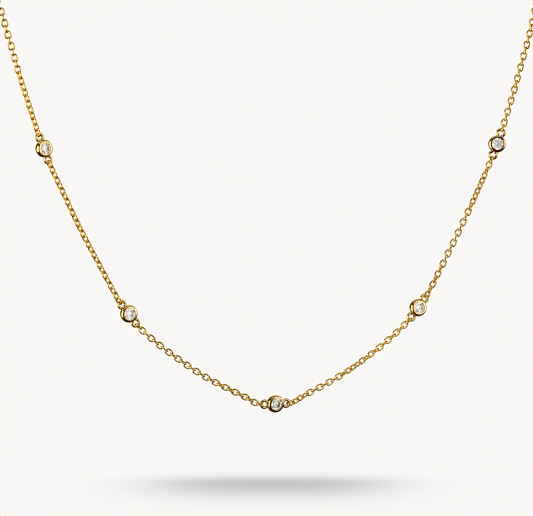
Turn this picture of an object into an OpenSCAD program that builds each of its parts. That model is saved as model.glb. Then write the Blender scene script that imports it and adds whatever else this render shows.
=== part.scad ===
/* [Stones] */
// Diameter of each round stone at its girdle
stone_d = 2.4; // [2.36:0.01:2.44]
// Diameter of the stone's flat table, corner to corner
table_d = 1.4; // [1.2:0.05:1.5]
// Angle of the stone's crown below its table, in degrees
crown_angle = 34.5; // [32:0.5:37]
// Angle of the stone's pavilion, in degrees
pavilion_angle = 40.5; // [39:0.5:42]
// Height of the stone's girdle band
girdle_h = 0.07; // [0.04:0.01:0.1]
// Play between a stone and its seat
stone_play = 0.02; // [0.01:0.005:0.03]
// How much steeper the seat is than the stone's pavilion, in degrees
seat_relief = 1; // [0.5:0.5:2]

/* [Bezels] */
// Outside diameter of a bezel
bezel_d = 3.5; // [3.3:0.05:3.8]
// Depth of a bezel, from its rim to its back
bezel_h = 1.3; // [1.3:0.05:1.5]
// Diameter of the opening inside the rim
rim_d = 2.28; // [2.22:0.01:2.3]
// Height of the rim over the top of the girdle
rim_rise = 0.2; // [0.18:0.01:0.24]
// Radius of the rounded lip round the opening
lip_r = 0.05; // [0.03:0.01:0.06]
// Angle at which the rim's face falls where it meets its outer edge, in degrees
rim_fall = 15; // [10:5:40]
// Radius of the rim's outer edge
rim_edge_r = 0.3; // [0.2:0.02:0.3]
// How much slimmer the wall is at its two edges than at its middle
wall_swell = 0.1; // [0.02:0.01:0.12]
// Radius of the rounded edge at the back
back_edge_r = 0.18; // [0.1:0.01:0.22]
// Diameter of the light hole in the back
back_hole_d = 1.1; // [0.8:0.05:1.3]

/* [Soldered rings] */
// Outside diameter of a ring
ring_d = 1.95; // [1.8:0.05:2.2]
// Thickness of a ring's wire
ring_wire = 0.56; // [0.45:0.01:0.6]
// Depth of the rings' middle plane behind the bezel's rim
ring_depth = 0.75; // [0.7:0.05:0.8]
// How far a ring's hole stands clear of the wall that it is soldered to
ring_stand = 0.15; // [0.05:0.01:0.2]

/* [Chain] */
// Width across the links of the cable chain
chain_d = 1.35; // [1.1:0.05:1.5]
// Gap between a ring and the end of a stretch of chain
chain_gap = 0.15; // [0.1:0.05:0.25]

/* [Clasp] */
// Diameter of the barrel clasp
clasp_d = 2.6; // [2.2:0.1:3]
// Length of the barrel clasp without its rings
clasp_l = 7; // [6:0.5:8]
// Width and depth of the groove round the middle of the clasp
clasp_groove = 0.2; // [0.1:0.05:0.3]

/* [Hidden] */
GOLD = "#d8a83c";
STONE = "#f1f3f4";
$fn = 96;

// The nape is at the origin, the wearer's left is +X seen from the front, and the front is at -Y.

// Distance from a bezel's middle to the centre of each of its rings
ring_reach = bezel_d / 2 + ring_d / 2 - ring_wire + ring_stand;
// Distance from the clasp's middle to the centre of each of its rings
clasp_reach = clasp_l / 2 + ring_d / 2 - ring_wire + ring_stand;
// Distance from a ring's centre to the end of the chain that hooks into it
hook_reach = ring_d / 2 + chain_gap;

// Stone heights, from the top of the girdle
crown_h = (stone_d - table_d) / 2 * tan(crown_angle);
pavilion_h = stone_d / 2 * tan(pavilion_angle);
// Height of the girdle's top over the plane of the rings
girdle_z = ring_depth - rim_rise;

// Each row holds [place, slope, twist, yaw, reach]: the middle of the piece in the plane of
// its rings, the angle that its two rings climb to the right, how far it is rolled about
// that line, how far it is turned to the right, and the distance out to a ring.
PLACE = 0;
SLOPE = 1;
TWIST = 2;
YAW = 3;
REACH = 4;
nape = [[0, clasp_d / 2, 0], 180, 0, 0, clasp_reach];
fixings = [
    nape,
    [[-47.7, -67.6, -47.5], -68, -8, 0, ring_reach],
    [[-31.1, -70.6, -79.9], -51, 2, 1, ring_reach],
    [[-0.4, -72, -98.5], 0, 5, 0, ring_reach],
    [[31.2, -70.6, -80.9], 49, -7, 6, ring_reach],
    [[50, -67.5, -49.4], 68, -16, 0, ring_reach],
    nape
];

// Points of the route between each two fixings, from the clasp round by the left
route = [
    [
        [-18, -0.9, -0.2], [-31, -5.2, -0.7], [-42.8, -12, -1.4], [-52.4, -21.2, -2.4],
        [-58.4, -33, -3.8], [-60, -45.8, -6.3], [-58.8, -57.6, -11.2], [-56.2, -64.3, -18.7],
        [-53.9, -65.2, -26.4], [-51.9, -66.1, -34]
    ],
    [[-43.4, -68.7, -57.5], [-40.6, -69.2, -63.4], [-37.5, -69.8, -69.3]],
    [[-23.7, -71.2, -87], [-15.4, -71.7, -92.6], [-7.1, -71.9, -96.8]],
    [[6.2, -71.9, -97], [14.3, -71.7, -93.3], [22.6, -71.3, -88.3]],
    [[37.4, -69.9, -71.8], [40.9, -69.3, -66], [44.3, -68.7, -60.2]],
    [
        [55.9, -65.7, -35], [60.5, -63.7, -21.4], [62.7, -57, -11.6], [62.8, -45.8, -6.3],
        [60.4, -33, -3.8], [53.6, -21.2, -2.4], [43.6, -12, -1.4], [31.4, -5.2, -0.7],
        [18, -0.9, -0.2]
    ]
];
// Rings of the tube from one point of the route to the next
rings_a_step = 2;
tube_sides = 8;
// A direction that the route never runs along, from which the tube's sides are counted
side_guide = [0, -1, 1];

function unit(v) = v / norm(v);

// Direction of the line through a fixing's two rings
function heading(f) = [
    cos(f[SLOPE]) * cos(f[YAW]), cos(f[SLOPE]) * sin(f[YAW]), sin(f[SLOPE])
];

// Point where the chain starts beyond a fixing's ring: way is 1 after the fixing, -1 before it
function hook(f, way) = f[PLACE] + way * (f[REACH] + hook_reach) * heading(f);

// The route of one stretch, with the middle of the fixing at each end
function stretch(i) = concat(
    [fixings[i][PLACE], hook(fixings[i], 1)],
    route[i],
    [hook(fixings[i + 1], -1), fixings[i + 1][PLACE]]
);

// Point at share t of the smooth curve from p[i] to p[i + 1]
function along(p, i, t) =
    let (a = p[i - 1], b = p[i], c = p[i + 1], d = p[i + 2])
    (2 * b + (c - a) * t + (2 * a - 5 * b + 4 * c - d) * t * t
        + (3 * b - a - 3 * c + d) * t * t * t) / 2;

function curve(p) = concat(
    [for (i = [1 : len(p) - 3], s = [0 : rings_a_step - 1]) along(p, i, s / rings_a_step)],
    [p[len(p) - 2]]
);

// Direction of the tube at point i of curve c, square to the ring at each end of stretch p
function forward(p, c, i) = unit(
    i == 0 ? p[1] - p[0]
    : i == len(c) - 1 ? p[len(p) - 1] - p[len(p) - 2]
    : c[i + 1] - c[i - 1]
);

// Corners of the tube's section about a point, square to a direction
function section(point, direction) =
    let (
        across = unit(cross(direction, side_guide)),
        up = cross(across, direction)
    )
    [for (k = [0 : tube_sides - 1])
        let (a = 360 * k / tube_sides)
        point + chain_d / 2 * (cos(a) * across + sin(a) * up)];

// Two triangles for each side of the tube between ring i and the next
function wall_faces(i) = [
    for (k = [0 : tube_sides - 1], half = [0, 1])
        let (
            a = i * tube_sides + k,
            b = i * tube_sides + (k + 1) % tube_sides
        )
        half == 0 ? [a, b, b + tube_sides] : [a, b + tube_sides, a + tube_sides]
];

module chain(i) {
    p = stretch(i);
    c = curve(p);
    last = (len(c) - 1) * tube_sides;
    color(GOLD)
        polyhedron(
            points = [for (j = [0 : len(c) - 1]) each section(c[j], forward(p, c, j))],
            faces = concat(
                [[for (k = [tube_sides - 1 : -1 : 0]) k]],
                [for (j = [0 : len(c) - 2]) each wall_faces(j)],
                [[for (k = [0 : tube_sides - 1]) last + k]]
            )
        );
}

// Moves its children from the plane z = 0 to a fixing, their +X along its rings and +Z at the viewer
module at(f)
    translate(f[PLACE])
        rotate([90 + f[TWIST], -f[SLOPE], f[YAW]])
            children();

// The two soldered rings, at this distance each side of the middle
module rings(reach)
    for (side = [-1, 1])
        translate([side * reach, 0, 0])
            rotate_extrude()
                translate([(ring_d - ring_wire) / 2, 0])
                    circle(d = ring_wire, $fn = 48);

// Points of a rounded corner of radius r about middle m, from angle a to angle b
function corner(m, r, a, b, steps = 6) =
    [for (s = [0 : steps]) let (t = a + (b - a) * s / steps) m + r * [cos(t), sin(t)]];

// Half section of the bezel's cup, with its rim at the top and the stone's seat inside
module cup_profile() {
    top = ring_depth;
    bottom = ring_depth - bezel_h;
    edge = bezel_d / 2 - wall_swell;
    lean = atan(2 * wall_swell / (bezel_h / 2 - back_edge_r));

    // The rim's face: an arc that is level at the lip and falls to the outer edge
    lip = [rim_d / 2 + lip_r, top - lip_r];
    rim_x = edge - rim_edge_r * cos(lean);
    fall = (rim_x + rim_edge_r * sin(rim_fall) - lip[0]) * tan(rim_fall / 2);
    rim_edge = [rim_x, top - fall - rim_edge_r * cos(rim_fall)];
    face_r = rim_edge_r + (rim_x - lip[0]) / sin(rim_fall);
    back_edge = [edge - back_edge_r * cos(lean), bottom + back_edge_r];

    low = back_edge[1] - back_edge_r * sin(lean);
    high = rim_edge[1] + rim_edge_r * sin(lean);
    swell = [for (s = [-0.75 : 0.25 : 0.75])
        [bezel_d / 2 - wall_swell * s * s, (low + high) / 2 + s * (high - low) / 2]];

    girdle_r = stone_d / 2 + stone_play;
    seat_top = girdle_z + stone_play;
    seat_bottom = girdle_z - girdle_h - stone_play;
    lip_z = seat_top + (girdle_r - rim_d / 2) * tan(crown_angle) + stone_play;
    hole_r = back_hole_d / 2;
    polygon(concat(
        corner(back_edge, back_edge_r, -90, -lean),
        swell,
        corner(rim_edge, rim_edge_r, lean, 90 - rim_fall),
        corner([lip[0], top - face_r], face_r, 90 - rim_fall, 90, 5),
        corner(lip, lip_r, 90, 180, 4),
        [
            [rim_d / 2, lip_z],
            [girdle_r, seat_top],
            [girdle_r, seat_bottom],
            [hole_r, seat_bottom - (girdle_r - hole_r) * tan(pavilion_angle + seat_relief)],
            [hole_r, bottom]
        ]
    ));
}

module bezel(i)
    color(GOLD)
        at(fixings[i]) {
            rotate_extrude() cup_profile();
            rings(ring_reach);
        }

// n points on a circle, the first one turned by offset
function circle_points(n, r, z, offset = 0) =
    [for (k = [0 : n - 1]) let (a = 360 * k / n + offset) [r * cos(a), r * sin(a), z]];

// A round brilliant: table, 8 stars, 8 kites, 16 upper halves, girdle, 16 lower halves, 8 mains
module stone(i) {
    girdle_r = stone_d / 2;
    half = 22.5;
    star_r = (table_d / 2 + girdle_r) / 2 / cos(half) * 0.98;
    star_z = (girdle_r - star_r * cos(half)) * tan(crown_angle);
    lower_r = girdle_r * 0.24;
    lower_z = -girdle_h - (girdle_r - lower_r * cos(half)) * tan(pavilion_angle);
    points = concat(
        circle_points(8, table_d / 2, crown_h),
        circle_points(8, star_r, star_z, half),
        circle_points(16, girdle_r, 0),
        circle_points(16, girdle_r, -girdle_h),
        circle_points(8, lower_r, lower_z, half),
        [[0, 0, -girdle_h - pavilion_h]]
    );
    color(STONE)
        at(fixings[i])
            translate([0, 0, girdle_z])
                hull()
                    polyhedron(points, [for (k = [0 : len(points) - 3]) [k, k + 1, k + 2]]);
}

// Half section of the barrel, from its end to its middle groove and on to the other end
module barrel_profile() {
    dome = clasp_d * 0.3;
    neck = clasp_groove / 2;
    for (side = [0, 1])
        mirror([0, side])
            polygon(concat(
                [[0, 0], [clasp_d / 2 - neck, 0], [clasp_d / 2, neck]],
                corner([clasp_d / 2 - dome, clasp_l / 2 - dome], dome, 0, 90, 10),
                [[0, clasp_l / 2]]
            ));
}

module clasp()
    color(GOLD)
        at(nape) {
            rotate([0, 90, 0]) rotate_extrude() barrel_profile();
            rings(clasp_reach);
        }

chain(0);  // chain_clasp_to_1
chain(1);  // chain_1_to_2
chain(2);  // chain_2_to_3
chain(3);  // chain_3_to_4
chain(4);  // chain_4_to_5
chain(5);  // chain_5_to_clasp
bezel(1);  // bezel_1
bezel(2);  // bezel_2
bezel(3);  // bezel_3
bezel(4);  // bezel_4
bezel(5);  // bezel_5
stone(1);  // stone_1
stone(2);  // stone_2
stone(3);  // stone_3
stone(4);  // stone_4
stone(5);  // stone_5
clasp();
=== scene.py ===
# %% [markdown]
# # A fine gold necklace with five bezel-set stones
#
# The necklace is a loop of tiny oval links, with a round stone in a plain gold cup every 37 mm along
# its front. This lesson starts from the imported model, which holds every piece at its real size and
# place, and gives each piece the look of the real thing. Blender's unit here is the metre, and a link
# is under two millimetres long, so sizes are written in millimetres and multiplied by MM.

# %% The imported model
import math

import bmesh
import bpy
import numpy as np
from mathutils import Matrix, Vector


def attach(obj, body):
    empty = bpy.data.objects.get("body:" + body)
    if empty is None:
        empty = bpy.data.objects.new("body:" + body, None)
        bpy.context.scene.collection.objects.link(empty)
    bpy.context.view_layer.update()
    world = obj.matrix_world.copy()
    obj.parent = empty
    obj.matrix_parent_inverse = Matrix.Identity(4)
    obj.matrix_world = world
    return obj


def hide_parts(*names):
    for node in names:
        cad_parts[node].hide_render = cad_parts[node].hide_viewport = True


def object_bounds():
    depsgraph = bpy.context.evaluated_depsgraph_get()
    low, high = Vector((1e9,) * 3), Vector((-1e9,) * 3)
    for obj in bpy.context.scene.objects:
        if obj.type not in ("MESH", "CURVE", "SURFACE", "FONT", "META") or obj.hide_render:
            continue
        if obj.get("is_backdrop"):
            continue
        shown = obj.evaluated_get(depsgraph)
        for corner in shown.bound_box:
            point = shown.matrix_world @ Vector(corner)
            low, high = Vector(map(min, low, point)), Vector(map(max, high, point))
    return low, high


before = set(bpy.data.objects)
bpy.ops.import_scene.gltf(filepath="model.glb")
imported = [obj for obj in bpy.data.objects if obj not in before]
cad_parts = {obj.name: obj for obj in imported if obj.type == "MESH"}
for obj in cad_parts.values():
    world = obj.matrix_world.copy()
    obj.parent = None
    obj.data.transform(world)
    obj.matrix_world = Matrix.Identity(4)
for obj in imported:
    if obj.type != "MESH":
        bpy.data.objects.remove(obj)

cad_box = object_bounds()
MM = 0.001
scene = bpy.context.scene
print("nodes:", ", ".join(sorted(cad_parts)))

# %% [markdown]
# ## Camera
#
# The photograph was taken with a long lens, a little above the lowest stone and 25 degrees round to
# the side. That angle shows in the stones: seen from there, the spans between them come out equal, as
# they are on the real thing. Two more numbers settle the view. One is how many millimetres a pixel
# spans at the front of the chain, and the other is the distance, which only sets how fast things
# shrink with depth. The focal length follows from both.

# %% The camera
PHOTO_WIDTH_PX = 533
SENSOR_MM = 36
MM_PER_PX = 0.195
VIEW_DISTANCE = 2000 * MM
VIEW_ELEVATION = math.radians(4.5)
VIEW_SIDE = math.radians(-25)
VIEW_TARGET = Vector((-1.8, -71, -70)) * MM

lens = bpy.data.cameras.new("portrait_lens")
lens.sensor_width = SENSOR_MM
lens.lens = SENSOR_MM * VIEW_DISTANCE / (PHOTO_WIDTH_PX * MM_PER_PX * MM)
lens.clip_start = 0.01
lens.clip_end = 20
camera = bpy.data.objects.new("camera", lens)
scene.collection.objects.link(camera)
viewer = Vector((math.sin(VIEW_SIDE), -math.cos(VIEW_SIDE), 0))
towards_camera = math.cos(VIEW_ELEVATION) * viewer + Vector((0, 0, math.sin(VIEW_ELEVATION)))
camera.location = VIEW_TARGET + VIEW_DISTANCE * towards_camera
camera.rotation_euler = (-towards_camera).to_track_quat("-Z", "Y").to_euler()
scene.camera = camera
print(f"lens {lens.lens:.1f} mm at {VIEW_DISTANCE / MM:.0f} mm")

# %% [markdown]
# ## Sums on shader sockets
#
# A procedural finish is arithmetic on patterns. Dragging Math nodes is slow to read, so one small
# class stands for the output of a node and lets Python's own signs add the Math nodes. Everything
# that isn't plain arithmetic goes through one method that adds a node, sets it up and wires it. The
# same class serves materials, the world and Geometry Nodes.

# %% Nodes written as sums
class Term:
    """The output of a node, on which + - * / and ** add Math nodes."""

    def __init__(self, graph, socket):
        self.graph = graph
        self.socket = socket

    def beside(self, name):
        """Another output of the same node."""
        return Term(self.graph, self.socket.node.outputs[name])

    def math(self, operation, *values):
        """A Math node of this operation on some values."""
        return self.graph.node(self.graph.sum_node, {"operation": operation}, dict(enumerate(values)))

    def __add__(self, other):
        return self.math("ADD", self, other)

    def __sub__(self, other):
        return self.math("SUBTRACT", self, other)

    def __rsub__(self, other):
        return self.math("SUBTRACT", other, self)

    def __mul__(self, other):
        return self.math("MULTIPLY", self, other)

    def __truediv__(self, other):
        return self.math("DIVIDE", self, other)

    def __pow__(self, other):
        return self.math("POWER", self, other)

    __radd__ = __add__
    __rmul__ = __mul__

    def step(self, low, high):
        """0 below low, 1 above high and a smooth slope between them."""
        return self.graph.node(
            "ShaderNodeMapRange",
            {"interpolation_type": "SMOOTHSTEP"},
            {"Value": self, "From Min": low, "From Max": high},
        )


class Graph:
    """The nodes of one material, of the world, of a geometry tree or of the camera's finish."""

    def __init__(self, tree, sum_node="ShaderNodeMath"):
        tree.nodes.clear()
        self.tree = tree
        self.sum_node = sum_node

    def node(self, kind, settings=None, sockets=None, take=0):
        """Adds a node, with its settings first, and gives back one of its outputs."""
        made = self.tree.nodes.new(kind)
        for name, value in (settings or {}).items():
            setattr(made, name, value)
        for name, value in (sockets or {}).items():
            if isinstance(value, Term):
                self.tree.links.new(value.socket, made.inputs[name])
            else:
                made.inputs[name].default_value = value
        return Term(self, made.outputs[take]) if made.outputs else made

    def mix(self, share, low, high):
        """A colour that goes from low to high as share goes from 0 to 1."""
        return self.node(
            "ShaderNodeMix", {"data_type": "RGBA"}, {0: share, 6: low, 7: high}, take=2
        )

    def noise(self, scale, detail=2.0, stretch=None):
        """A cloudy pattern fixed to the piece, with this many clouds to the metre."""
        where = self.node("ShaderNodeTexCoord", take="Object")
        if stretch:
            where = self.node("ShaderNodeMapping", {}, {"Vector": where, "Scale": stretch})
        return self.node(
            "ShaderNodeTexNoise", {}, {"Vector": where, "Scale": scale, "Detail": detail}, take="Fac"
        )


print("signs that now add Math nodes: + - * / **")

# %% [markdown]
# ## Studio: paper, floor and lights
#
# Polished gold has hardly any colour of its own: it shows what stands round it. The photograph's gold
# has cream bands beside nearly black ones, and from where they lie on the cups the lights can be read
# back: a wide soft one on the left, a smaller one on the right, a strip above, a lit wall behind, and
# darkness between them, most of all just right of the camera. The paper behind the necklace glows
# faintly from below, which shows in the backs of the cups. The world is painted in that way, as a sum
# over directions, so the light is soft and free of noise.

# %% Directions in the room
PAPER = (0.947, 0.930, 0.913, 1)
# What polished gold shows where no light is
DARK = (0.07, 0.035, 0.010, 1)

world = bpy.data.worlds.new("studio")
scene.world = world
world.use_nodes = True
studio = Graph(world.node_tree)
direction = studio.node("ShaderNodeTexCoord", take="Generated")
east = studio.node("ShaderNodeSeparateXYZ", {}, {"Vector": direction}, take="X")
heading = east.math("ARCTAN2", east, east.beside("Y") * -1)
climb = east.math("ARCSINE", east.beside("Z"))


def soft_light(azimuth, elevation, half_width, half_height, softness):
    """How much of a soft light lies in a direction, from 0 to 1. Angles are in degrees, and azimuth
    is 0 at the camera, 90 on its right and 180 behind the necklace."""
    off_azimuth = heading - (VIEW_SIDE + math.radians(azimuth))
    off_azimuth = off_azimuth.math("WRAP", off_azimuth, math.pi, -math.pi)
    across = off_azimuth.math("ABSOLUTE", off_azimuth)
    height = climb - math.radians(elevation)
    up = height.math("ABSOLUTE", height)
    soft = math.radians(softness)
    inside_across = 1 - across.step(math.radians(half_width) - soft, math.radians(half_width) + soft)
    inside_up = 1 - up.step(math.radians(half_height) - soft, math.radians(half_height) + soft)
    return inside_across * inside_up


print("the room's heading and climb are worked out from each direction")

# %% [markdown]
# Each light is one row: the middle of its patch, how far the patch reaches sideways and up, the
# softness of its edge, and its strength beside plain paper. Only what the gold reflects comes from
# these lights. The camera itself sees plain paper, and a stone lets through some of both.

# %% Lights in the room
# Azimuth, elevation, half width, half height and softness in degrees, and then the strength
LIGHTS = {
    "left": (-54, -2, 42, 26, 6, 2.0),
    "right": (68, 6, 27, 15, 6, 1.75),
    "top": (0, 62, 75, 17, 8, 1.0),
    "wall behind": (180, 28, 34, 24, 8, 1.2),
    "floor behind": (200, -20, 62, 15, 8, 0.4),
}
# Of the light that comes through a stone, the share from plain paper, and how much brighter it all is
STONE_PAPER = 0.34
STONE_GAIN = 0.3

glow = 0
for *patch, strength in LIGHTS.values():
    glow = glow + soft_light(*patch) * strength
lit_paper = studio.node(
    "ShaderNodeVectorMath", {"operation": "SCALE"}, {0: PAPER[:3], "Scale": glow}
)
gloss_light = studio.node(
    "ShaderNodeVectorMath", {"operation": "ADD"}, {0: lit_paper, 1: DARK[:3]}
)
glossy = studio.node("ShaderNodeLightPath", take="Is Glossy Ray")
through = glossy.beside("Is Transmission Ray")
sky = studio.mix(glossy * (1 - through * STONE_PAPER), PAPER, gloss_light)
background = studio.node(
    "ShaderNodeBackground", {}, {"Color": sky, "Strength": 1 + through * STONE_GAIN}
)
studio.node("ShaderNodeOutputWorld", {}, {"Surface": background})
scene.view_settings.view_transform = "Standard"
print("lights:", ", ".join(LIGHTS))

# %% [markdown]
# The floor is a sheet of the same paper, well below the necklace. A fine chain throws almost no
# shadow of its own, and the photograph has one wide soft patch instead, as a large light above gives.
# The patch is a painted shadow in the paper's own colour: darkest in its middle, and falling off as a
# bell does.
# Its far edge is the sharpest and its near edge the softest, which three different powers give.

# %% The paper floor
FLOOR_Z = -114 * MM
FLOOR_HALF = 3000 * MM
SHADOW_CENTRE = VIEW_TARGET.xy + Vector((-0.9, -3.6)) * MM
# How far the patch reaches to its sides, behind its middle and before it, and the power of each fall
SHADOW_SIDE, SIDE_POWER = 23.9 * MM, 3
SHADOW_BEHIND, BEHIND_POWER = 16.2 * MM, 2.5
SHADOW_BEFORE, BEFORE_POWER = 25.3 * MM, 1.7
SHADOW_SHARE = 0.40
BLACK = (0, 0, 0, 1)

paper = bpy.data.materials.new("paper")
paper.use_nodes = True
sheet = Graph(paper.node_tree)
spot = sheet.node("ShaderNodeTexCoord", take="Object")
place = sheet.node("ShaderNodeSeparateXYZ", {}, {"Vector": spot}, take="X")
east = place - SHADOW_CENTRE.x
north = place.beside("Y") - SHADOW_CENTRE.y
side = east * -viewer.y + north * viewer.x
side = side.math("ABSOLUTE", side) / SHADOW_SIDE
depth = east * -viewer.x + north * -viewer.y
behind = depth.math("MAXIMUM", depth, 0) / SHADOW_BEHIND
before = depth.math("MAXIMUM", depth * -1, 0) / SHADOW_BEFORE
away = side**SIDE_POWER + behind**BEHIND_POWER + before**BEFORE_POWER
# Painted shadow: the paper's colour darkens toward black in the patch, on a floor that otherwise glows
# evenly.
shade = away.math("EXPONENT", away * -1) * SHADOW_SHARE
shadowed_paper = sheet.mix(shade, PAPER, BLACK)
glowing = sheet.node("ShaderNodeEmission", {}, {"Color": shadowed_paper})
sheet.node("ShaderNodeOutputMaterial", {}, {"Surface": glowing})

corners = [(x * FLOOR_HALF, y * FLOOR_HALF, FLOOR_Z) for x, y in ((-1, -1), (1, -1), (1, 1), (-1, 1))]
floor_mesh = bpy.data.meshes.new("floor")
floor_mesh.from_pydata(corners, [], [(0, 1, 2, 3)])
floor_mesh.materials.append(paper)
floor = bpy.data.objects.new("floor", floor_mesh)
scene.collection.objects.link(floor)
floor.visible_glossy = False
floor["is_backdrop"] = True
print(f"floor {abs(FLOOR_Z) / MM:.0f} mm below the nape")

# %% [markdown]
# ## Gold and stone
#
# The metal is silver or brass with a thin plate of yellow gold. The cups and the clasp are buffed to
# a mirror. A real polish is never perfect: the buff leaves faint clouds, where the gloss is a little
# softer, and fine hairlines. The chain is too fine to buff and is tumbled in a drum instead, which
# leaves its plate deeper in colour and its gloss a little less than whole. Each link comes out of the
# drum a little different, so the links carry a number of their own that shifts the colour slightly.

# %% Polished gold
BRIGHT_PLATE = (0.84, 0.61, 0.22, 1), (0.74, 0.50, 0.12, 1)
TUMBLED_PLATE = (1.0, 0.69, 0.07, 1), (0.95, 0.56, 0.02, 1)
# How many clouds, grains and hairlines there are to the metre, and how far hairlines are drawn out
CLOUDS, GRAINS, HAIRLINES = 900, 9000, 2500
HAIRLINE_STRETCH = (1, 1, 9)
CLOUD_ROUGHNESS, HAIRLINE_ROUGHNESS = 0.05, 0.06
GRAIN_SHARE, HAIRLINE_SHARE = 0.6, 0.4
RELIEF_STRENGTH, RELIEF_DEPTH = 0.12, 0.004 * MM
# How much of a link's tone is its own, and not the clouds'
OWN_SHARE = 0.5


def polished_gold(name, plate, roughness, gloss, own_tone=False):
    """Yellow gold plate, with clouds and hairlines left by the polishing. The rest up to 1 of its
    gloss is light that fine scratches scatter."""
    made = bpy.data.materials.new(name)
    made.use_nodes = True
    gold = Graph(made.node_tree)
    clouds = gold.noise(CLOUDS, detail=3)
    grain = gold.noise(GRAINS, detail=2)
    hairlines = gold.noise(HAIRLINES, detail=4, stretch=HAIRLINE_STRETCH)
    tone = clouds
    if own_tone:
        own = gold.node("ShaderNodeAttribute", {"attribute_name": "link_tone"}, take="Fac")
        tone = clouds * (1 - OWN_SHARE) + own * OWN_SHARE
    colour = gold.mix(tone, plate[1], plate[0])
    rough = roughness + clouds * CLOUD_ROUGHNESS + (hairlines - 0.5) * HAIRLINE_ROUGHNESS
    height = grain * GRAIN_SHARE + hairlines * HAIRLINE_SHARE
    relief = gold.node(
        "ShaderNodeBump",
        {},
        {"Strength": RELIEF_STRENGTH, "Distance": RELIEF_DEPTH, "Height": height},
        take="Normal",
    )
    shader = gold.node(
        "ShaderNodeBsdfPrincipled",
        {},
        {"Base Color": colour, "Metallic": gloss, "Roughness": rough, "Normal": relief},
    )
    gold.node("ShaderNodeOutputMaterial", {}, {"Surface": shader})
    return made


chain_gold = polished_gold("chain_gold", TUMBLED_PLATE, 0.10, 0.94, own_tone=True)
bezel_gold = polished_gold("bezel_gold", BRIGHT_PLATE, 0.05, 1.0)
clasp_gold = polished_gold("clasp_gold", BRIGHT_PLATE, 0.08, 1.0)
print("gold: chain, bezels and clasp")

# %% [markdown]
# Cubic zirconia bends light nearly as much as diamond. Clear glass with that refractive index and
# flat facets does the rest: light that enters the table is thrown about by the facets below and comes
# back out as bright and grey patches. The stone's faint tints come from a pattern so large that one
# stone holds only two or three clouds. They are a little warm, because so small a stone takes up the
# gold's light.

# %% Clear stone
ZIRCONIA_IOR = 2.17
STONE_TINTS = (1.0, 0.98, 0.945, 1), (0.98, 0.99, 0.965, 1)
# How many clouds of tint and specks of polish there are to the metre, and the most roughness
TINT_CLOUDS, POLISH_SPECKS = 1400, 4000
STONE_ROUGHNESS = 0.01


def clear_stone(name):
    """Cut cubic zirconia, clear with a breath of warmth."""
    made = bpy.data.materials.new(name)
    made.use_nodes = True
    stone = Graph(made.node_tree)
    clouds = stone.noise(TINT_CLOUDS, detail=1)
    tint = stone.mix(clouds, *STONE_TINTS)
    polish = stone.noise(POLISH_SPECKS, detail=2) * STONE_ROUGHNESS
    shader = stone.node(
        "ShaderNodeBsdfPrincipled",
        {},
        {"Base Color": tint, "Roughness": polish, "IOR": ZIRCONIA_IOR, "Transmission Weight": 1.0},
    )
    stone.node("ShaderNodeOutputMaterial", {}, {"Surface": shader})
    return made


zirconia = clear_stone("clear_stone")
print("stone: index", ZIRCONIA_IOR)

# %% [markdown]
# ## The route
#
# The necklace hangs as worn: from the nape round the sides of the neck, and down in front. Each cup
# hangs where the photograph has it, turned as the chain lets it lie. A row of the table below holds
# the middle of a cup in the plane of its rings, the climb of its two rings to the right, its roll
# about that line, its turn to the right, and the distance out to a ring. Between two cups, the chain
# follows a smooth curve through a few points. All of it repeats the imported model's own values.

# %% Fixings and route, in millimetres and degrees
RING_D = 1.95
RING_WIRE = 0.56
BEZEL_D = 3.5
BEZEL_H = 1.3
RING_DEPTH = 0.75
RING_STAND = 0.15
CLASP_D = 2.6
CLASP_L = 7
RING_REACH = BEZEL_D / 2 + RING_D / 2 - RING_WIRE + RING_STAND
CLASP_REACH = CLASP_L / 2 + RING_D / 2 - RING_WIRE + RING_STAND

NAPE = ((0, CLASP_D / 2, 0), 180, 0, 0, CLASP_REACH)
FIXINGS = [
    NAPE,
    ((-47.7, -67.6, -47.5), -68, -8, 0, RING_REACH),
    ((-31.1, -70.6, -79.9), -51, 2, 1, RING_REACH),
    ((-0.4, -72, -98.5), 0, 5, 0, RING_REACH),
    ((31.2, -70.6, -80.9), 49, -7, 6, RING_REACH),
    ((50, -67.5, -49.4), 68, -16, 0, RING_REACH),
    NAPE,
]
ROUTE = [
    [
        (-18, -0.9, -0.2), (-31, -5.2, -0.7), (-42.8, -12, -1.4), (-52.4, -21.2, -2.4),
        (-58.4, -33, -3.8), (-60, -45.8, -6.3), (-58.8, -57.6, -11.2), (-56.2, -64.3, -18.7),
        (-53.9, -65.2, -26.4), (-51.9, -66.1, -34),
    ],
    [(-43.4, -68.7, -57.5), (-40.6, -69.2, -63.4), (-37.5, -69.8, -69.3)],
    [(-23.7, -71.2, -87), (-15.4, -71.7, -92.6), (-7.1, -71.9, -96.8)],
    [(6.2, -71.9, -97), (14.3, -71.7, -93.3), (22.6, -71.3, -88.3)],
    [(37.4, -69.9, -71.8), (40.9, -69.3, -66), (44.3, -68.7, -60.2)],
    [
        (55.9, -65.7, -35), (60.5, -63.7, -21.4), (62.7, -57, -11.6), (62.8, -45.8, -6.3),
        (60.4, -33, -3.8), (53.6, -21.2, -2.4), (43.6, -12, -1.4), (31.4, -5.2, -0.7),
        (18, -0.9, -0.2),
    ],
]
print(f"{len(FIXINGS) - 2} cups, with rings {RING_REACH:.3f} mm out from their middles")

# %% [markdown]
# Every turned piece is made in millimetres about its own middle, with its rings along X, and is then
# carried to its place by its fixing. The object itself stays at the origin, unturned, because the
# finishes read the piece's own coordinates. Each piece is named after the node of the imported model
# that it stands for, hides that node, and wears its material.

# %% Placing and finishing a piece
def turn(fixing):
    """The rotation that lays a piece's own +X along its rings and its +Z at the viewer."""
    _, slope, twist, yaw, _ = fixing
    return (
        Matrix.Rotation(math.radians(yaw), 3, "Z")
        @ Matrix.Rotation(math.radians(-slope), 3, "Y")
        @ Matrix.Rotation(math.radians(90 + twist), 3, "X")
    )


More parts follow.
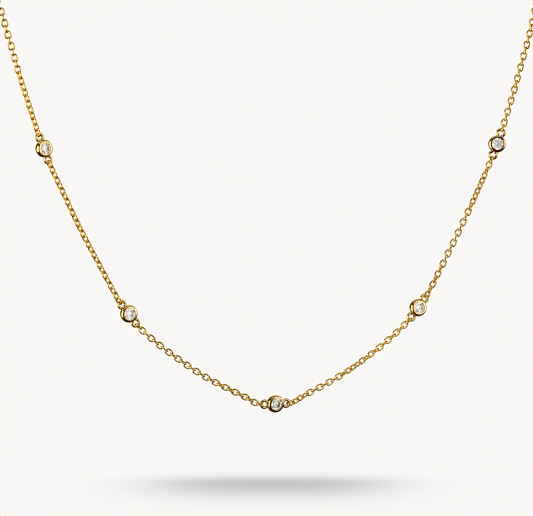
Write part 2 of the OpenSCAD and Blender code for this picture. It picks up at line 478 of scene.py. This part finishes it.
def placed(mesh, fixing):
    """Moves a mesh, made in millimetres about its own middle, to a fixing."""
    mesh.transform(Matrix.Translation(Vector(fixing[0]) * MM) @ (turn(fixing) * MM).to_4x4())
    return mesh


def finished(mesh, node, material):
    """Makes a mesh the piece that stands for a node."""
    mesh.materials.clear()
    mesh.materials.append(material)
    piece = bpy.data.objects.new("fine_" + node, mesh)
    scene.collection.objects.link(piece)
    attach(piece, "root")
    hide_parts(node)
    return piece


print("a piece goes to its fixing, and stands for one node")

# %% [markdown]
# ## Links
#
# The chain is a cable chain: plain oval links of round wire, each turned a quarter about the line of
# the chain from the one before, because each passes through the next. Pulled tight, the links sit one
# inner length apart. The first link hooks through a cup's ring, so it stands square to the cup's
# face, and so must the last one at the next cup: the number of steps between them is even.

# %% The sizes of a link, in millimetres
LINK_LENGTH = 1.815
LINK_WIDTH = 1.35
LINK_WIRE = 0.32
LINK_PITCH = LINK_LENGTH - 2 * LINK_WIRE
# How far a loose link may roll off its place, in degrees
LINK_LAY = 5
# From the centre of a ring to the centre of the link that hooks through it
FIRST_LINK = (RING_D - RING_WIRE) / 2 - (RING_WIRE + LINK_WIRE) / 2 + (LINK_LENGTH - LINK_WIRE) / 2
print(f"a link every {LINK_PITCH:.3f} mm, the first {FIRST_LINK:.3f} mm past the ring's centre")

# %% [markdown]
# A hanging chain rolls about its own line, so that here every other link faces the viewer, and there
# all stand half turned. The line through the middles of the links is a smooth curve through the
# route's points. Each of its points carries an arrow, the side that every other link faces, worked
# out from the roll that the photograph shows.

# %% The line of the links, and the side they face
CURVE_STEPS = 10


def line_of(fixing):
    """Direction of the line through a fixing's two rings."""
    return turn(fixing) @ Vector((1, 0, 0))


def along(p, i, t):
    """The smooth curve's point at share t of the way from p[i] to p[i + 1]."""
    a, b, c, d = p[i - 1 : i + 3]
    bend = (2 * a - 5 * b + 4 * c - d) * t * t + (3 * b - a - 3 * c + d) * t**3
    return (2 * b + (c - a) * t + bend) / 2


def links_route(i):
    """The line through the middles of a stretch's links, from one cup's ring to the next."""
    start, end = FIXINGS[i], FIXINGS[i + 1]
    first = Vector(start[0]) + (start[4] + FIRST_LINK) * line_of(start)
    last = Vector(end[0]) - (end[4] + FIRST_LINK) * line_of(end)
    p = [Vector(start[0]), first, *map(Vector, ROUTE[i]), last, Vector(end[0])]
    steps = [(k, s / CURVE_STEPS) for k in range(1, len(p) - 2) for s in range(CURVE_STEPS)]
    return [along(p, k, t) for k, t in steps] + [last]


def arrows(line, rolls):
    """The side that every other link faces at each point of a line. A roll is a share of the way,
    the side from which it is counted, and degrees about the line."""
    lengths = np.cumsum([0] + [(b - a).length for a, b in zip(line, line[1:])])
    known = [share for share, _, _ in rolls]
    found = []
    for k, share in enumerate(lengths / lengths[-1]):
        forward = (line[min(k + 1, len(line) - 1)] - line[max(k - 1, 0)]).normalized()
        side = Vector([np.interp(share, known, [side[n] for _, side, _ in rolls]) for n in range(3)])
        side = (side - side.dot(forward) * forward).normalized()
        roll = math.radians(np.interp(share, known, [degrees for _, _, degrees in rolls]))
        found.append(math.cos(roll) * side + math.sin(roll) * forward.cross(side))
    return found


print("points on the routes:", [len(links_route(i)) for i in range(len(ROUTE))])

# %% [markdown]
# Hundreds of equal links along a line are a job for Geometry Nodes. One link is a rectangle with wide
# rounded corners, and a six-sided wire carried round it. It is kept to a few dozen faces, because it
# is repeated hundreds of times.

# %% One link
# A six-sided wire is made a little thicker than a round one, so that both fill the same space
LINK_SIDES = 6
WIRE_FULLNESS = 0.55
# Radius of a link's corners, as a share of its width: 0.5 would make its ends half circles
END_ROUNDNESS = 0.44
CORNER_STEPS = 2


def one_link(graph, take):
    """An oval of wire about the origin, long in X and wide in Y."""
    wire = take["Wire"]
    across = take["Link width"] - wire
    oval = graph.node(
        "GeometryNodeCurvePrimitiveQuadrilateral",
        {"mode": "RECTANGLE"},
        {"Width": take["Link length"] - wire, "Height": across},
    )
    rounding = {"Count": CORNER_STEPS, "Radius": across * END_ROUNDNESS, "Limit Radius": True}
    oval = graph.node("GeometryNodeFilletCurve", {"mode": "POLY"}, {"Curve": oval, **rounding})
    section = graph.node(
        "GeometryNodeCurvePrimitiveCircle",
        {},
        {"Resolution": LINK_SIDES, "Radius": wire * WIRE_FULLNESS},
    )
    return graph.node("GeometryNodeCurveToMesh", {}, {"Curve": oval, "Profile Curve": section})


print(f"a link of {4 * (CORNER_STEPS + 1) * LINK_SIDES} faces")

# %% [markdown]
# The route is cut into equal steps, an even number of them and none longer than a link's inner
# length. The link on each step is turned in three goes: its length along the route, its face to the
# arrow, and then a quarter more than the link before, give or take the little that loose links lie
# askew.

# %% Where the links go, and how they are turned
def random_value(graph, low, high, seed):
    """A number of its own for every link, the same in each run."""
    return graph.node(
        "FunctionNodeRandomValue", {"data_type": "FLOAT"}, {2: low, 3: high, "Seed": seed}, take=1
    )


def steps_along(graph, take):
    """The points of the route that carry a link."""
    route = graph.node("GeometryNodeMeshToCurve", {}, {"Mesh": take["Geometry"]})
    length = graph.node("GeometryNodeCurveLength", {}, {"Curve": route})
    pairs = length / take["Largest pitch"] / 2
    gaps = pairs.math("CEIL", pairs) * 2
    return graph.node(
        "GeometryNodeResampleCurve", {"mode": "COUNT"}, {"Curve": route, "Count": gaps + 1}
    )


def link_pose(graph, take):
    """The rotation of the link on each step."""
    tangent = graph.node("GeometryNodeInputTangent")
    facing = graph.node(
        "GeometryNodeInputNamedAttribute", {"data_type": "FLOAT_VECTOR"}, {"Name": "facing"}
    )
    pose = graph.node("FunctionNodeAlignRotationToVector", {"axis": "X"}, {"Vector": tangent})
    pose = graph.node(
        "FunctionNodeAlignRotationToVector",
        {"axis": "Z", "pivot_axis": "X"},
        {"Rotation": pose, "Vector": facing},
    )
    quarter = math.pi / 2
    number = graph.node("GeometryNodeInputIndex")
    askew = random_value(graph, -1.0, 1.0, take["Seed"]) * take["Lay"]
    quarter_turns = graph.node(
        "FunctionNodeAxisAngleToRotation",
        {},
        {"Axis": (1, 0, 0), "Angle": quarter + number * quarter + askew},
    )
    return graph.node(
        "FunctionNodeRotateRotation",
        {"rotation_space": "LOCAL"},
        {"Rotation": pose, "Rotate By": quarter_turns},
    )


print("links are laid along the route, facing their arrows")

# %% [markdown]
# The tree sets a copy of the link on each step, gives it a number of its own for its tone, and turns
# the whole stretch into one real mesh in gold.

# %% The tree of the cable chain
# Keeps the tone's random numbers apart from those of the lay
TONE_SEED = 50


def link_tree():
    """A geometry tree that hooks oval links into a chain along the route it is given."""
    tree = bpy.data.node_groups.new("cable_chain", "GeometryNodeTree")
    face = tree.interface
    face.new_socket(name="Geometry", in_out="INPUT", socket_type="NodeSocketGeometry")
    for name in ("Link length", "Link width", "Wire", "Largest pitch", "Lay"):
        face.new_socket(name=name, in_out="INPUT", socket_type="NodeSocketFloat")
    face.new_socket(name="Seed", in_out="INPUT", socket_type="NodeSocketInt")
    face.new_socket(name="Gold", in_out="INPUT", socket_type="NodeSocketMaterial")
    face.new_socket(name="Geometry", in_out="OUTPUT", socket_type="NodeSocketGeometry")
    graph = Graph(tree)
    given = graph.node("NodeGroupInput")
    inputs = [item.name for item in face.items_tree if item.in_out == "INPUT"]
    take = {name: given.beside(name) for name in inputs}

    chain = graph.node(
        "GeometryNodeInstanceOnPoints",
        {},
        {
            "Points": steps_along(graph, take),
            "Instance": one_link(graph, take),
            "Rotation": link_pose(graph, take),
        },
    )
    tone = random_value(graph, 0.0, 1.0, take["Seed"] + TONE_SEED)
    chain = graph.node(
        "GeometryNodeStoreNamedAttribute",
        {"data_type": "FLOAT", "domain": "INSTANCE"},
        {"Geometry": chain, "Name": "link_tone", "Value": tone},
    )
    chain = graph.node("GeometryNodeRealizeInstances", {}, {"Geometry": chain})
    chain = graph.node("GeometryNodeSetShadeSmooth", {}, {"Geometry": chain})
    chain = graph.node(
        "GeometryNodeSetMaterial", {}, {"Geometry": chain, "Material": take["Gold"]}
    )
    graph.node("NodeGroupOutput", {}, {"Geometry": chain})
    return tree


cable_chain = link_tree()
print("cable chain tree:", len(cable_chain.nodes), "nodes")

# %% [markdown]
# A stretch starts as a bare line of edges that carries its arrows. The tree turns it into links, and
# the result is kept as a plain mesh, so that no modifier is left on the piece.

# %% Stretches of chain
def chain_piece(i, node, rolls, seed):
    """The links of one stretch, as one plain mesh."""
    line = links_route(i)
    mesh = bpy.data.meshes.new(node + "_route")
    mesh.from_pydata([p * MM for p in line], [(k, k + 1) for k in range(len(line) - 1)], [])
    facing = mesh.attributes.new("facing", "FLOAT_VECTOR", "POINT")
    facing.data.foreach_set("vector", np.ravel(arrows(line, rolls)))
    worker = bpy.data.objects.new(node + "_route", mesh)
    scene.collection.objects.link(worker)
    modifier = worker.modifiers.new("links", "NODES")
    modifier.node_group = cable_chain
    values = {
        "Link length": LINK_LENGTH * MM,
        "Link width": LINK_WIDTH * MM,
        "Wire": LINK_WIRE * MM,
        "Largest pitch": LINK_PITCH * MM,
        "Lay": math.radians(LINK_LAY),
        "Seed": seed,
        "Gold": chain_gold,
    }
    for item in cable_chain.interface.items_tree:
        if item.in_out == "INPUT" and item.name in values:
            modifier[item.identifier] = values[item.name]
    evaluated = worker.evaluated_get(bpy.context.evaluated_depsgraph_get())
    links = bpy.data.meshes.new_from_object(evaluated)
    bpy.data.objects.remove(worker)
    links.name = node
    finished(links, node, chain_gold)
    length = sum((b - a).length for a, b in zip(line, line[1:]))
    count = 2 * math.ceil(length / LINK_PITCH / 2) + 1
    print(f"{node}: {count} links over {length:.1f} mm, {len(links.polygons)} faces")

# %% [markdown]
# These rolls were read off the photograph, stretch by stretch. Where the chain climbs to the nape and
# nobody sees it, every other link simply lies flat.

# %% The rolls of the six stretches
UP = Vector((0, 0, 1))
STRETCHES = {
    "chain_clasp_to_1": [
        (0, UP, 0), (0.55, UP, 0), (0.76, viewer, 0), (0.88, viewer, 0), (0.92, viewer, -45),
        (1, viewer, -45),
    ],
    "chain_1_to_2": [(0, viewer, -45), (1, viewer, -45)],
    "chain_2_to_3": [
        (0, viewer, -25), (0.12, viewer, 0), (0.5, viewer, 0), (0.75, viewer, 12), (1, viewer, 5),
    ],
    "chain_3_to_4": [
        (0, viewer, 40), (0.1, viewer, 50), (0.17, viewer, 80), (0.22, viewer, 90),
        (0.38, viewer, 90), (0.45, viewer, 55), (0.51, viewer, 42), (0.57, viewer, 28),
        (0.66, viewer, 20), (0.72, viewer, 5), (1, viewer, 5),
    ],
    "chain_4_to_5": [
        (0, viewer, 50), (0.05, viewer, 62), (0.18, viewer, 66), (0.24, viewer, 90),
        (0.62, viewer, 90), (0.7, viewer, 45), (0.88, viewer, 45), (0.94, viewer, 12),
        (1, viewer, 10),
    ],
    "chain_5_to_clasp": [(0, viewer, 5), (0.28, viewer, 0), (0.5, UP, 0), (1, UP, 0)],
}
for i, (node, rolls) in enumerate(STRETCHES.items()):
    chain_piece(i, node, rolls, seed=i + 1)

# %% [markdown]
# ## Cups and their rings
#
# A bezel is a short tube of gold whose top edge is pushed over the stone's girdle all round and then
# burnished. Such a cup is turned on a lathe, so its mesh is turned too: half a section, carried round
# the axis.

# %% Turning a section
TURN_STEPS = 96


def arc(middle, radius, start, end, steps=6):
    """Points of a rounded corner, from one angle to another."""
    angles = np.linspace(start, end, steps + 1)
    return [(middle[0] + radius * math.cos(a), middle[1] + radius * math.sin(a)) for a in angles]


def turned(section):
    """Vertices and faces of a closed half section, (radius, height) points, carried round Z."""
    n = len(section)
    vertices, faces = [], []
    for step in range(TURN_STEPS):
        a = 2 * math.pi * step / TURN_STEPS
        vertices += [(r * math.cos(a), r * math.sin(a), z) for r, z in section]
        here, there = step * n, (step + 1) % TURN_STEPS * n
        for k in range(n):
            after = (k + 1) % n
            if section[k][0] or section[after][0]:
                faces.append((here + k, there + k, there + after, here + after))
    return vertices, faces


print(f"a section is carried round in {TURN_STEPS} steps")

# %% [markdown]
# The two rings are bent wire, thicker than a link's, and soldered to the wall. Solder creeps into the
# corner and rounds it, so the wire swells a little where it meets the wall. Its two ends are sunk in
# the metal, where nobody sees them.

# %% Bending a ring
SOLDER_CREEP = 0.3
SOLDER_SWELL = 0.06
RING_STEPS = 48
WIRE_SIDES = 16
SUNK_ANGLE = math.radians(20)


def soldered_ring(reach, way, wall_gap):
    """A ring of wire about a centre at reach along X, with its two ends sunk in a wall. wall_gap
    gives how far a point of the wire's middle line lies off the wall."""
    radius = (RING_D - RING_WIRE) / 2
    vertices, faces = [], []
    for a in np.linspace(-math.pi + SUNK_ANGLE, math.pi - SUNK_ANGLE, RING_STEPS + 1):
        x, y = reach + radius * math.cos(a), radius * math.sin(a)
        near = min(1, max(0, 1 - wall_gap(x, y) / SOLDER_CREEP))
        thick = RING_WIRE / 2 + SOLDER_SWELL * near**2
        for b in np.linspace(0, 2 * math.pi, WIRE_SIDES, endpoint=False):
            out, z = thick * math.cos(b), thick * math.sin(b)
            vertices.append((way * (x + out * math.cos(a)), y + out * math.sin(a), z))
    for i in range(RING_STEPS):
        for k in range(WIRE_SIDES):
            here, after = i * WIRE_SIDES + k, i * WIRE_SIDES + (k + 1) % WIRE_SIDES
            faces.append((here, here + WIRE_SIDES, after + WIRE_SIDES, after))
    last = RING_STEPS * WIRE_SIDES
    faces += [tuple(range(WIRE_SIDES)), tuple(range(last, last + WIRE_SIDES))]
    return vertices, faces


print(f"a ring of {RING_STEPS * WIRE_SIDES} faces")

# %% [markdown]
# A turned cup and its bent rings become one mesh, as soldered metal is one piece. Points that meet
# are welded, the faces are turned outward, and only edges sharper than the burnished ones stay sharp.

# %% Joining parts to a mesh
WELD = 0.0005
SHARP_ANGLE = math.radians(32)


def joined(name, parts):
    """One mesh of several lists of vertices and faces, welded where points meet, with its faces
    turned outward, and smooth but for its sharp edges."""
    mesh = bpy.data.meshes.new(name)
    vertices, faces = [], []
    for part_vertices, part_faces in parts:
        start = len(vertices)
        vertices += part_vertices
        faces += [[start + k for k in face] for face in part_faces]
    mesh.from_pydata(vertices, [], faces)
    work = bmesh.new()
    work.from_mesh(mesh)
    bmesh.ops.remove_doubles(work, verts=work.verts, dist=WELD)
    bmesh.ops.recalc_face_normals(work, faces=work.faces)
    work.to_mesh(mesh)
    work.free()
    mesh.shade_smooth()
    mesh.set_sharp_from_angle(angle=SHARP_ANGLE)
    return mesh


print(f"edges over {math.degrees(SHARP_ANGLE):.0f} degrees stay sharp")

# %% [markdown]
# Burnishing leaves a narrow, slightly domed rim that falls away outwards to a well rounded edge. That
# edge shows as a black line with a bright band beside it. Below it the wall swells a little, and
# inside, a seat carries the stone over an open back.

# %% The cup's section, in millimetres
STONE_D = 2.4
GIRDLE_H = 0.07
STONE_PLAY = 0.02
CROWN_ANGLE = math.radians(34.5)
SEAT_ANGLE = math.radians(41.5)
RIM_D = 2.28
RIM_RISE = 0.2
RIM_FALL = math.radians(15)
RIM_EDGE_R = 0.3
LIP_R = 0.05
WALL_SWELL = 0.1
# The share of the wall's height that its curve takes up between the rounded edges, and its points
WALL_SHARE, WALL_POINTS = 0.8, 9
BACK_EDGE_R = 0.18
BACK_HOLE_D = 1.1
UPWARD = math.pi / 2


def cup_section():
    """Half of a cup cut down its middle, from the back edge up the wall, over the rim to the seat."""
    top, bottom = RING_DEPTH, RING_DEPTH - BEZEL_H
    edge = BEZEL_D / 2 - WALL_SWELL
    lean = math.atan(2 * WALL_SWELL / (BEZEL_H / 2 - BACK_EDGE_R))
    back_edge = (edge - BACK_EDGE_R * math.cos(lean), bottom + BACK_EDGE_R)

    lip = (RIM_D / 2 + LIP_R, top - LIP_R)
    rim_x = edge - RIM_EDGE_R * math.cos(lean)
    drop = (rim_x + RIM_EDGE_R * math.sin(RIM_FALL) - lip[0]) * math.tan(RIM_FALL / 2)
    rim_edge = (rim_x, top - drop - RIM_EDGE_R * math.cos(RIM_FALL))
    face_r = RIM_EDGE_R + (rim_x - lip[0]) / math.sin(RIM_FALL)

    low = back_edge[1] - BACK_EDGE_R * math.sin(lean)
    high = rim_edge[1] + RIM_EDGE_R * math.sin(lean)
    wall = []
    for s in np.linspace(-WALL_SHARE, WALL_SHARE, WALL_POINTS):
        wall.append((BEZEL_D / 2 - WALL_SWELL * s * s, (low + high) / 2 + s * (high - low) / 2))

    girdle_r = STONE_D / 2 + STONE_PLAY
    girdle_z = RING_DEPTH - RIM_RISE
    seat_top = girdle_z + STONE_PLAY
    seat_bottom = girdle_z - GIRDLE_H - STONE_PLAY
    lip_z = seat_top + (girdle_r - RIM_D / 2) * math.tan(CROWN_ANGLE) + STONE_PLAY
    hole_r = BACK_HOLE_D / 2
    return [
        *arc(back_edge, BACK_EDGE_R, -UPWARD, -lean),
        *wall,
        *arc(rim_edge, RIM_EDGE_R, lean, UPWARD - RIM_FALL),
        *arc((lip[0], top - face_r), face_r, UPWARD - RIM_FALL, UPWARD),
        *arc(lip, LIP_R, UPWARD, 2 * UPWARD),
        (RIM_D / 2, lip_z),
        (girdle_r, seat_top),
        (girdle_r, seat_bottom),
        (hole_r, seat_bottom - (girdle_r - hole_r) * math.tan(SEAT_ANGLE)),
        (hole_r, bottom),
    ]


print(f"half a cup's section has {len(cup_section())} points")

# %% [markdown]
# Each cup gets its two rings, is joined, and goes to its fixing in the cups' bright gold.

# %% Five bezels
def bezel_piece(i):
    """A cup with its two soldered rings, in its place on the necklace."""

    def wall_gap(x, y):
        return math.hypot(x, y) - BEZEL_D / 2

    rings = [soldered_ring(RING_REACH, way, wall_gap) for way in (1, -1)]
    mesh = joined(f"bezel_{i}", [turned(cup_section()), *rings])
    return finished(placed(mesh, FIXINGS[i]), f"bezel_{i}", bezel_gold)


bezels = [bezel_piece(i) for i in range(1, 6)]
print(f"{len(bezels)} bezels of {len(bezels[0].data.polygons)} faces")

# %% [markdown]
# ## Stones
#
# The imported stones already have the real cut: a table, stars, kites and halves above the girdle, and
# mains and lower halves below it. Their facets are flat and sharp, which is right for a cut stone, so
# they stay and only take the clear material.

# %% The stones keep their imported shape
for i in range(1, 6):
    stone_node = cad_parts[f"stone_{i}"]
    stone_node.material_slots[0].material = zirconia
print("five stones in clear zirconia")

# %% [markdown]
# ## Clasp
#
# The photograph stops short of the clasp. A plain barrel with a screw joint round its middle is what
# such a fine chain often has, so it gets the same turned mesh and the same soldered rings.

# %% The barrel clasp
CLASP_GROOVE = 0.2
CLASP_DOME_R = CLASP_D * 0.3
DOME_STEPS = 12


def barrel_section():
    """Half of the barrel cut down its middle, from one end over the groove to the other."""
    radius, half, neck = CLASP_D / 2, CLASP_L / 2, CLASP_GROOVE / 2
    dome = (radius - CLASP_DOME_R, half - CLASP_DOME_R)
    upper = [(radius - neck, 0), (radius, neck)]
    upper += arc(dome, CLASP_DOME_R, 0, UPWARD, steps=DOME_STEPS)
    lower = [(r, -z) for r, z in reversed(upper[1:])]
    return [(0, -half), *lower, *upper, (0, half)]


def clasp_piece():
    """The barrel and its two rings, across the nape."""

    def end_gap(x, y):
        return x - CLASP_L / 2

    vertices, faces = turned(barrel_section())
    vertices = [(z, y, -x) for x, y, z in vertices]
    rings = [soldered_ring(CLASP_REACH, way, end_gap) for way in (1, -1)]
    mesh = joined("clasp", [(vertices, faces), *rings])
    return finished(placed(mesh, NAPE), "clasp", clasp_gold)


clasp = clasp_piece()
print(f"clasp of {len(clasp.data.polygons)} faces")

# %% [markdown]
# ## The camera's own finish
#
# A shop photograph isn't raw light. The camera sharpens it, which draws a faint pale line round each
# dark edge, and the picture file keeps brightness finer than colour, so that gold tints the pixels
# next to it. Two blurs give both: the brightness steps away from its own blur, and the two colour
# signals are replaced by theirs. The work is done on the picture as it is shown, so a gamma goes
# before it and its opposite after it.

# %% Sharper brightness, softer colour
SHARPENING = 0.8
SHARPENING_PX = 2
COLOUR_BLUR_PX = 2
DISPLAY_GAMMA = 2.2

scene.use_nodes = True
finish = Graph(scene.node_tree, sum_node="CompositorNodeMath")


def blurred(value, pixels):
    """A signal of the picture, softened over this many pixels."""
    settings = {"filter_type": "GAUSS", "size_x": pixels, "size_y": pixels}
    return finish.node("CompositorNodeBlur", settings, {"Image": value})


picture = finish.node("CompositorNodeRLayers", take="Image")
shown = finish.node("CompositorNodeGamma", {}, {"Image": picture, "Gamma": 1 / DISPLAY_GAMMA})
brightness = finish.node("CompositorNodeSeparateColor", {"mode": "YUV"}, {"Image": shown})
colours = [blurred(brightness.beside(n), COLOUR_BLUR_PX) for n in (1, 2)]
brightness = brightness + (brightness - blurred(brightness, SHARPENING_PX)) * SHARPENING
shown = finish.node(
    "CompositorNodeCombineColor", {"mode": "YUV"}, {0: brightness, 1: colours[0], 2: colours[1]}
)
picture = finish.node("CompositorNodeGamma", {}, {"Image": shown, "Gamma": DISPLAY_GAMMA})
finish.node("CompositorNodeComposite", {}, {"Image": picture})
print("finish:", len(scene.node_tree.nodes), "nodes")

# %% [markdown]
# ## Boxes
#
# The box of the imported model and the box of the finished pieces are printed side by side, in
# millimetres. The finished pieces have to fill the same box as the imported model, give or
# take a hair.

# %% Boxes, then the end
fine_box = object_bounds()
sizes = {
    "cad": [list(corner) for corner in cad_box],
    "visual": [list(corner) for corner in fine_box],
}
for name, (low, high) in sizes.items():
    print(name, [round((b - a) / MM, 2) for a, b in zip(low, high)], "mm")
